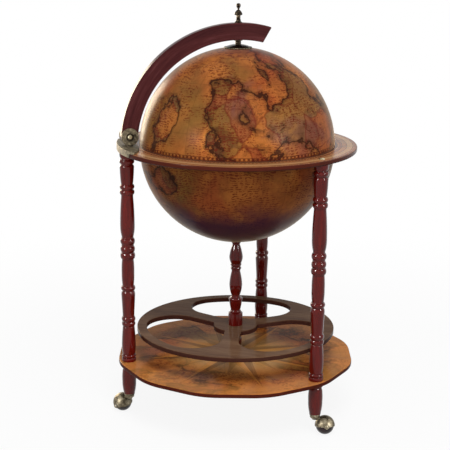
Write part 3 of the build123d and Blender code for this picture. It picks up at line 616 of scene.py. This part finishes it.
def ringMap():
    board = Board("ringMap")
    across, angle, height = flatPolar(board, board.coords)
    half = math.radians(ringLook["spokeStep"]) / 2
    spokeAway = board.times(board.math("PINGPONG", angle, half), across)
    spokes = board.times(board.step(spokeAway, *ringLook["spokeLine"]),
                         board.step(across, *ringLook["spokeFrom"]))
    grid = board.math("MAXIMUM", spokes, board.band(across, *ringLook["circle"]))
    colour = mapColours(board, board.coords, grid, ringLook["seed"])
    colour = board.mix(ringLook["baseShare"], colour, ringLook["base"])
    # a paler calendar band between two red ones, a dark inner rim of painted shade where the globe
    # meets the ring, and thin lines
    pale = board.band(across, *ringLook["paleBand"])
    colour = board.mix(board.times(pale, ringLook["paleShare"]), colour, ringLook["pale"])
    for band in ringLook["redBands"]:
        stripe = board.band(across, *band)
        colour = board.mix(board.times(stripe, ringLook["redShare"]), colour, ringLook["red"])
    # painted shade along the ring's inner edge, next to the globe
    paintedJointShade = board.step(across, *ringLook["rim"])
    colour = board.mix(board.times(paintedJointShade, ringLook["rimShare"]), colour, ringLook["jointShadeTone"])
    for reach in ringLook["lines"]:
        line = board.band(across, reach, *ringLook["fineLine"])
        colour = board.mix(board.times(line, ringLook["lineShare"]), colour, mapLook["ink"])
    tick = board.times(board.band(across, *ringLook["tickBand"]), ticks(board, angle, ringLook))
    colour = board.mix(board.times(tick, ringLook["tickShare"]), colour, mapLook["redInk"])
    colour = boardEdges(board, colour, plan["ringTop"])
    return lacquered(board, colour, roughness=0.16, gloss=0.06)


def starReach(board, angle, points, tip, notch):
    # radius of a star's outline in the direction angle, and which half of a point that is
    half = math.pi / points
    signed = board.math("SUBTRACT", board.math("FLOORED_MODULO", board.math("ADD", angle, half),
                                               2 * half), half)
    offset = board.math("ABSOLUTE", signed)
    below = board.math("ADD", board.times(board.math("SINE", offset), tip),
                       board.times(board.math("SINE", board.math("SUBTRACT", half, offset)),
                                   notch))
    reach = board.math("DIVIDE", tip * notch * math.sin(half), below)
    return reach, board.math("GREATER_THAN", signed, 0.0)


shelfLook = {
    "seed": (0.17, 0.43, 0.2),
    # stars: points, reach of the points and of the notches, share of the print
    "stars": ((16, 0.148, 0.07, 0.2), (8, 0.212, 0.052, 0.4)),
    "starTurn": 15.0,
    "facetSoft": 0.0008,
    "outline": (0.0, 0.0007, 0.0006),
    "outlineShare": 0.4,
    "spokeStep": 10.0,
    "spokeLine": (0.0007, 0.0003),
    "spokeFrom": (0.2235, 0.2245),
    "circles": (0.1, 0.152, 0.224, 0.236),
    "circleLine": (0.0007, 0.0005),
    "brighter": (1.22, 1.17, 1.1),
    "light": linear(206, 134, 60),
    "lightShare": 0.1,
    "rim": linear(232, 158, 84),
    "rimFrom": (0.185, 0.225),
    "rimShare": 0.34,
    # painted light: a pale tone in the middle, where the rack and the globe shade the shelf
    "pale": linear(206, 158, 98),
    "paintedLightReach": (0.16, 0.08),
    "paleShare": 0.72,
    "dark": linear(80, 44, 26),
}


def shelfMap():
    # a chart with a compass star of eight long and sixteen short points
    board = Board("shelfMap")
    across, angle, height = flatPolar(board, board.coords)
    half = math.radians(shelfLook["spokeStep"]) / 2
    spokeAway = board.times(board.math("PINGPONG", angle, half), across)
    grid = board.times(board.step(spokeAway, *shelfLook["spokeLine"]),
                       board.step(across, *shelfLook["spokeFrom"]))
    for reach in shelfLook["circles"]:
        circle = board.band(across, reach, *shelfLook["circleLine"])
        grid = board.math("MAXIMUM", grid, circle)
    colour = mapColours(board, board.coords, grid, shelfLook["seed"])
    # the print is lightest along the edge; the pale tone in the middle is painted light where the
    # rack and the globe shade the shelf
    colour = board.mix(1.0, colour, board.joined(*shelfLook["brighter"]), "MULTIPLY")
    colour = board.mix(shelfLook["lightShare"], colour, shelfLook["light"])
    rim = board.times(board.step(across, *shelfLook["rimFrom"]), shelfLook["rimShare"])
    colour = board.mix(rim, colour, shelfLook["rim"])
    # painted light in the middle of the shelf, under the rack and the globe
    pale = board.times(board.step(across, *shelfLook["paintedLightReach"]), shelfLook["paleShare"])
    colour = board.mix(pale, colour, shelfLook["pale"])
    turnedAngle = board.math("ADD", angle, math.radians(shelfLook["starTurn"]))
    for points, tip, notch, amount in shelfLook["stars"]:
        reach, side = starReach(board, turnedAngle, points, tip, notch)
        inside = board.step(across, reach,
                            board.math("SUBTRACT", reach, shelfLook["facetSoft"]))
        outline = board.band(board.math("SUBTRACT", across, reach), *shelfLook["outline"])
        facet = board.mix(side, shelfLook["light"], shelfLook["dark"])
        colour = board.mix(board.times(inside, amount), colour, facet)
        colour = board.mix(board.times(outline, shelfLook["outlineShare"]), colour,
                           mapLook["ink"])
    colour = boardEdges(board, colour, plan["shelfTop"])
    return lacquered(board, colour, roughness=0.1, gloss=0.014)


mapGlobe = globeMap()
mapRing = ringMap()
mapShelf = shelfMap()
print("materials made")


def paint(node, material):
    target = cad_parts[node]
    target.data.materials.clear()
    target.data.materials.append(material)


looks = {
    cherry: ["leg_1", "leg_2", "leg_3", "stub_foot_1", "stub_foot_2", "stub_foot_3",
             "lower_post", "upper_spindle"],
    cherryArm: ["meridian_arm"],
    rackBrown: ["bottle_rack"],
    traySatin: ["bottle_tray", "tray_floor"],
    beech: ["bowl_pad", "lid_pad"],
    mapGlobe: ["lid_shell", "lower_bowl"],
    mapRing: ["horizon_ring"],
    mapShelf: ["shelf_board"],
    antiqueBrass: ["hinge_saddle", "hinge_nut"],
    domeBrass: ["hinge_pin", "screw_covers"],
    darkBronze: ["pole_cap", "thrust_washer", "finial"],
    zincSteel: ["leg_studs", "tie_rod", "tie_washers", "tie_nuts", "ring_screws", "pole_rod",
                "pole_washer", "pole_nut", "saddle_screws"],
    nylon: ["arm_bush", "hinge_washers"],
    paleBrass: ["caster_socket_1", "caster_socket_2", "caster_socket_3", "caster_hood_1",
                "caster_hood_2", "caster_hood_3"],
    ballPlastic: ["caster_wheel_1", "caster_wheel_2", "caster_wheel_3"],
}
for n in (1, 2, 3):
    looks[zincSteel] += [f"caster_stem_{n}", f"caster_axle_{n}"]
for material, nodes in looks.items():
    for node in nodes:
        paint(node, material)
print("frame painted")


def onto(obj, centre, axis):
    # the piece's own +Z goes to axis, its origin to centre, and its place into its mesh
    deselectAll()
    obj.select_set(True)
    bpy.context.view_layer.objects.active = obj
    obj.rotation_euler = Vector(axis).to_track_quat("Z", "Y").to_euler()
    obj.location = centre
    bpy.ops.object.transform_apply(location=True, rotation=True, scale=True)


def latheFrom(name, profile, sides, closed=False):
    # drawn up ring by ring from (radius, height) pairs; closed joins the last ring to the first
    deselectAll()
    first = profile[0]
    fill = "NOTHING" if closed else "NGON"
    bpy.ops.mesh.primitive_circle_add(vertices=sides, radius=first[0], fill_type=fill,
                                      location=(0, 0, first[1]))
    made = bpy.context.object
    made.name = name
    bpy.ops.object.transform_apply(location=True)
    bpy.ops.object.mode_set(mode="EDIT")
    bpy.ops.mesh.select_all(action="SELECT")
    around = profile[1:] + ([first] if closed else [])
    radius, height = first
    for nextRadius, nextHeight in around:
        if closed:
            bpy.ops.mesh.extrude_edges_move()
        else:
            bpy.ops.mesh.extrude_region_move()
        bpy.ops.transform.translate(value=(0, 0, nextHeight - height))
        factor = nextRadius / radius
        bpy.ops.transform.resize(value=(factor, factor, 1))
        radius, height = nextRadius, nextHeight
    bpy.ops.mesh.select_all(action="SELECT")
    bpy.ops.mesh.remove_doubles(threshold=0.00001)
    bpy.ops.mesh.normals_make_consistent(inside=False)
    bpy.ops.object.mode_set(mode="OBJECT")
    bpy.ops.object.shade_smooth_by_angle(angle=math.radians(40))
    return made


def finished(obj, material, body):
    obj.data.materials.clear()
    obj.data.materials.append(material)
    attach(obj, body)


# beads round the rim of the pole cap
beadLook = {
    "count": 46,
    "radius": 0.00165,
    "circle": 0.0268,
    "height": 0.76545,
    "segments": 12,
    "rings": 8,
    "root": 0.0016,         # how far a bead's foot goes into the cap
    "rootFacing": -0.8,     # faces that look at the cap more than this make the foot
    "rootNarrowing": 0.7,
}


def capBeads():
    deselectAll()
    bpy.ops.mesh.primitive_uv_sphere_add(
        segments=beadLook["segments"], ring_count=beadLook["rings"], radius=beadLook["radius"],
        location=(beadLook["circle"], 0, beadLook["height"]))
    bead = bpy.context.object
    bead.name = "cap_beads"
    bpy.ops.object.transform_apply(location=True)
    bpy.ops.object.mode_set(mode="EDIT")
    bpy.ops.mesh.select_all(action="DESELECT")
    bpy.ops.object.mode_set(mode="OBJECT")
    for face in bead.data.polygons:
        face.select = face.normal.x < beadLook["rootFacing"]
    bpy.ops.object.mode_set(mode="EDIT")
    bpy.ops.mesh.select_mode(type="FACE")
    bpy.ops.mesh.extrude_region_move(
        TRANSFORM_OT_translate={"value": (-beadLook["root"], 0, -beadLook["root"] / 3)})
    narrowing = beadLook["rootNarrowing"]
    bpy.ops.transform.resize(value=(1, narrowing, narrowing))
    bpy.ops.object.mode_set(mode="OBJECT")
    bpy.ops.object.shade_smooth_by_angle(angle=math.radians(50))
    deselectAll()
    bead.select_set(True)
    bpy.context.view_layer.objects.active = bead
    copies = [bead]
    for k in range(1, beadLook["count"]):
        bpy.ops.object.duplicate(linked=False)
        copy = bpy.context.object
        copy.rotation_euler = (0, 0, math.radians(360 * k / beadLook["count"]))
        copies.append(copy)
    deselectAll()
    for copy in copies:
        copy.select_set(True)
    bpy.context.view_layer.objects.active = bead
    bpy.ops.object.transform_apply(rotation=True)
    bpy.ops.object.join()
    finished(bead, beadBronze, "lid")


# raised ring round the pin's head on the hinge's front face
hingeTrimLook = {
    "sides": 48,
    # radius and height over the face
    "profile": [(0.0079, -0.0003), (0.0079, 0.0003), (0.0082, 0.0007), (0.0086, 0.0008),
                (0.009, 0.0007), (0.0093, 0.0003), (0.0093, -0.0003)],
}


def inArmFrame(along, out, up):
    turn = math.radians(plan["armTurn"])
    return (along * math.cos(turn) - out * math.sin(turn),
            along * math.sin(turn) + out * math.cos(turn), up)


def hingeTrim():
    trim = latheFrom("hinge_trim", hingeTrimLook["profile"], hingeTrimLook["sides"],
                     closed=True)
    onto(trim, inArmFrame(plan["pin"][0], -plan["cheekFace"], plan["pin"][1]),
         inArmFrame(0, -1, 0))
    finished(trim, antiqueBrass, "stand")


# domed rivets on the ends of each caster's axle
rivetLook = {
    "sides": 24,
    # radius and height over the hood
    "profile": [(0.0036, -0.0004), (0.0037, 0.0001), (0.0034, 0.0006), (0.0026, 0.0011),
                (0.0014, 0.00135), (0.0003, 0.0014)],
    "reach": 0.0219,        # ball's centre to the rivet, along the axle
    "ballHeight": 0.0184,
    "trail": 0.021,         # stem to the ball's centre
    "lean": 12.0,
    "legCircle": 0.23,
    "legs": (210.0, 330.0, 90.0),       # direction of each leg from the centre
    "casters": (152.0, 22.0, 235.0),    # direction in which each caster trails
}


def casterRivets():
    lean = math.radians(rivetLook["lean"])
    circle, trail = rivetLook["legCircle"], rivetLook["trail"]
    for n, (leg, caster) in enumerate(zip(rivetLook["legs"], rivetLook["casters"]), 1):
        leg, caster = math.radians(leg), math.radians(caster)
        ball = Vector((circle * math.cos(leg) + trail * math.cos(caster),
                       circle * math.sin(leg) + trail * math.sin(caster),
                       rivetLook["ballHeight"]))
        axle = Vector((-math.sin(caster) * math.cos(lean), math.cos(caster) * math.cos(lean),
                       -math.sin(lean)))
        for end, sign in (("a", 1), ("b", -1)):
            rivet = latheFrom(f"caster_{n}_rivet_{end}", rivetLook["profile"],
                              rivetLook["sides"])
            onto(rivet, ball + sign * rivetLook["reach"] * axle, sign * axle)
            finished(rivet, paleBrass, f"swivel_{n}")


capBeads()
hingeTrim()
casterRivets()
print("trim modelled")

# floor, world, lamps and camera
stageLook = {
    "floorSize": 60.0,
    "ownGlow": 0.9,         # share of the near floor's white that needs no lamp
    "pureFrom": (0.5, 1.6),     # metres from the centre, where the floor fades to plain white
    "paleness": 0.9,        # how pale the floor looks to the camera and in reflections
    "bounce": 0.22,         # how pale it is for the light it throws back
    "ambient": 0.46,
    "aim": (0.0, 0.0, 0.5),
}
lampLook = {
    # two that only light
    "soft": {"place": (0.72, -1.70, 2.91), "size": 1.5, "power": 52.0, "gloss": False},
    "fill": {"place": (0.4, -3.2, 0.9), "size": 2.0, "power": 30.0, "gloss": False},
    # four that only make highlights
    "high": {"place": (0.72, -1.70, 2.91), "size": 1.5, "power": 22.0, "light": False},
    "left": {"place": (-1.66, -2.38, 1.25), "size": 0.55, "power": 72.0, "light": False},
    "right": {"place": (2.63, -1.23, 1.25), "size": 0.55, "power": 72.0, "light": False},
    "rim": {"place": (-2.11, 1.72, 0.75), "size": 1.3, "power": 52.0, "light": False,
            "colour": (1.0, 0.84, 0.62)},
}

deselectAll()
bpy.ops.mesh.primitive_plane_add(size=stageLook["floorSize"])
floor = bpy.context.object
floor.name = "floor"
floorBoard = Board("paleFloor")
floorTree = floorBoard.tree
rays = floorBoard.add("ShaderNodeLightPath").outputs
seen = floorBoard.math("MAXIMUM", rays["Is Camera Ray"], rays["Is Glossy Ray"])
seen = floorBoard.math("MAXIMUM", seen, rays["Is Transmission Ray"])
across, _, _ = flatPolar(floorBoard, floorBoard.coords)
far = floorBoard.step(across, *stageLook["pureFrom"])
white = floorBoard.math("ADD", stageLook["ownGlow"],
                        floorBoard.times(far, 1 - stageLook["ownGlow"]))
glow = floorBoard.add("ShaderNodeEmission", {"Color": (1, 1, 1, 1), "Strength": 1.0})
paleness = floorBoard.math("ADD", stageLook["bounce"],
                           floorBoard.times(seen, stageLook["paleness"] - stageLook["bounce"]))
matt = floorBoard.add("ShaderNodeBsdfDiffuse",
                      {"Color": floorBoard.joined(paleness, paleness, paleness)})
blend = floorBoard.add("ShaderNodeMixShader", {
    0: floorBoard.times(seen, white),
    1: matt.outputs[0],
    2: glow.outputs[0],
})
floorTree.links.new(blend.outputs[0], floorTree.nodes["Material Output"].inputs["Surface"])
floor.data.materials.append(floorBoard.material)

world = bpy.data.worlds.new("studio")
bpy.context.scene.world = world
world.use_nodes = True
worldTree = world.node_tree
worldRays = worldTree.nodes.new("ShaderNodeLightPath").outputs
together = worldTree.nodes.new("ShaderNodeMath")
together.operation = "MAXIMUM"
worldTree.links.new(worldRays["Is Camera Ray"], together.inputs[0])
worldTree.links.new(worldRays["Is Glossy Ray"], together.inputs[1])
strength = worldTree.nodes.new("ShaderNodeMapRange")
worldTree.links.new(together.outputs[0], strength.inputs["Value"])
strength.inputs["To Min"].default_value = stageLook["ambient"]
strength.inputs["To Max"].default_value = 1.0
background = worldTree.nodes["Background"]
background.inputs["Color"].default_value = (1, 1, 1, 1)
worldTree.links.new(strength.outputs[0], background.inputs["Strength"])

for name, settings in lampLook.items():
    lampData = bpy.data.lights.new(name + "Lamp", "AREA")
    lampData.shape = "DISK"
    lampData.size = settings["size"]
    lampData.energy = settings["power"]
    lampData.color = settings.get("colour", (1.0, 1.0, 1.0))
    lamp = bpy.data.objects.new(name + "Lamp", lampData)
    lamp.location = settings["place"]
    lamp.visible_camera = False
    lamp.visible_diffuse = settings.get("light", True)
    lamp.visible_glossy = settings.get("gloss", True)
    aim = Vector(stageLook["aim"]) - lamp.location
    lamp.rotation_euler = aim.to_track_quat("-Z", "Y").to_euler()
    bpy.context.scene.collection.objects.link(lamp)

cameraLook = {
    "place": (0.66474, -2.51009, 1.05312),
    "turn": (75.79871, -0.41443, 15.46011),
    "lens": 102.742,
    "sensor": 36.0,
    "sees": 100,            # metres
}
cameraData = bpy.data.cameras.new("camera")
cameraData.lens = cameraLook["lens"]
cameraData.sensor_width = cameraLook["sensor"]
cameraData.clip_end = cameraLook["sees"]
camera = bpy.data.objects.new("camera", cameraData)
camera.location = cameraLook["place"]
camera.rotation_euler = [math.radians(angle) for angle in cameraLook["turn"]]
bpy.context.scene.collection.objects.link(camera)
bpy.context.scene.camera = camera
bpy.context.scene.view_settings.view_transform = "Standard"
print("stage set")
